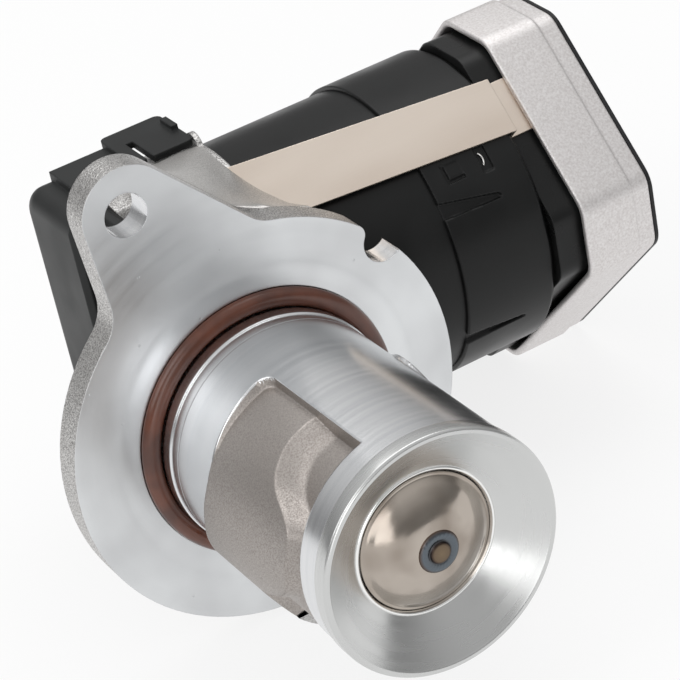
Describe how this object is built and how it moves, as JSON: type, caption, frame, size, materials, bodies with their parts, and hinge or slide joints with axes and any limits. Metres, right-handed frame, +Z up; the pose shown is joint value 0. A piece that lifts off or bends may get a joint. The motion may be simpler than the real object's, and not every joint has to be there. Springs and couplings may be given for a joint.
{
  "type": "exhaust gas recirculation valve",
  "caption": "Motor-driven exhaust gas recirculation valve: machined flange and neck with a poppet in a trumpet mouth, black motor, clamp strip and cast end cap.",
  "frame": {"origin": "centre of the flange's mating face, on the valve's axis", "axes": "+X along the motor's axis towards the end cap, -Y along the valve towards its mouth, +Z up towards the bolt lug"},
  "size_m": [0.1436, 0.1571, 0.1096],
  "materials": {
    "body_casting": "machined and sand-cast aluminium",
    "seat_steel": "turned stainless steel",
    "poppet_steel": "polished stainless steel, warm from heat",
    "stem_steel": "ground steel",
    "bronze": "sintered bronze",
    "seal_rubber": "black rubber",
    "ring_rubber": "brown fluoro rubber",
    "spring_steel": "drawn spring wire",
    "retainer_steel": "pressed steel",
    "gear_plastic": "moulded gear plastic",
    "gear_steel": "cut steel",
    "black_plastic": "moulded black plastic",
    "housing_plastic": "moulded black plastic",
    "strip_steel": "nickel plated spring steel",
    "cap_casting": "bead blasted die casting",
    "board_green": "circuit board",
    "chip_black": "moulded chips",
    "contact_brass": "tinned brass",
    "winding_copper": "enamelled copper wire",
    "carbon": "carbon",
    "ferrite": "ferrite",
    "can_steel": "drawn steel",
    "lamination_steel": "stacked laminations",
    "back_plate": "thin black plate",
    "screw_steel": "zinc plated steel"
  },
  "bodies": {
    "root": {"valve_body": "body_casting", "seat_ring": "seat_steel", "stem_guide_bush": "bronze", "stem_seal": "seal_rubber", "flange_o_ring": "ring_rubber", "drive_bushes": "bronze", "idler_pin": "stem_steel", "gear_cover": "black_plastic", "cover_gasket": "seal_rubber", "sensor_board": "board_green", "motor_housing": "housing_plastic", "housing_seal": "seal_rubber", "motor_can": "can_steel", "motor_magnets": "ferrite", "rotor_bearing_front": "bronze", "rotor_bearing_rear": "bronze", "brush_plate": "black_plastic", "brushes": "carbon", "motor_cap": "housing_plastic", "end_frame": "black_plastic", "circuit_board": "board_green", "board_chips": "chip_black", "connector_pins": "contact_brass", "end_cap": "cap_casting", "rear_plate": "back_plate", "end_cap_screws": "screw_steel", "clamp_strip": "strip_steel"},
    "valve": {"poppet_head": "poppet_steel", "valve_stem": "stem_steel", "spring_retainer": "retainer_steel", "retainer_clip": "spring_steel", "return_spring": "spring_steel"},
    "drive": {"drive_shaft": "gear_steel", "output_gear": "gear_plastic", "sensor_magnet": "ferrite"},
    "idler": {"idler_gear": "gear_plastic"},
    "rotor": {"rotor_shaft": "stem_steel", "motor_pinion": "gear_steel", "rotor_core": "lamination_steel", "rotor_windings": "winding_copper", "commutator": "contact_brass"}
  },
  "joints": [
    {"name": "rotor_spin", "type": "hinge", "parent": "root", "child": "rotor", "pos_m": [0, 0.044, 0.0028], "axis": [1, 0, 0], "range_deg": [0, 660]},
    {"name": "idler_spin", "type": "hinge", "parent": "root", "child": "idler", "pos_m": [0, 0.04744, -0.01487], "axis": [1, 0, 0], "range_deg": [-189, 0]},
    {"name": "drive_spin", "type": "hinge", "parent": "root", "child": "drive", "pos_m": [0, 0.03, -0.009], "axis": [1, 0, 0], "range_deg": [0, 67]},
    {"name": "valve_lift", "type": "slide", "parent": "root", "child": "valve", "axis": [0, -1, 0], "range_m": [0, 0.007], "stiffness_N_per_m": 800, "springref_m": -0.006, "deforming": ["return_spring"]}
  ],
  "couplings": [
    {"joint": "idler_spin", "follows": "rotor_spin", "ratio": -0.28571},
    {"joint": "drive_spin", "follows": "rotor_spin", "ratio": 0.10084},
    {"joint": "valve_lift", "follows": "rotor_spin", "m_per_rad": 0.00060504}
  ]
}
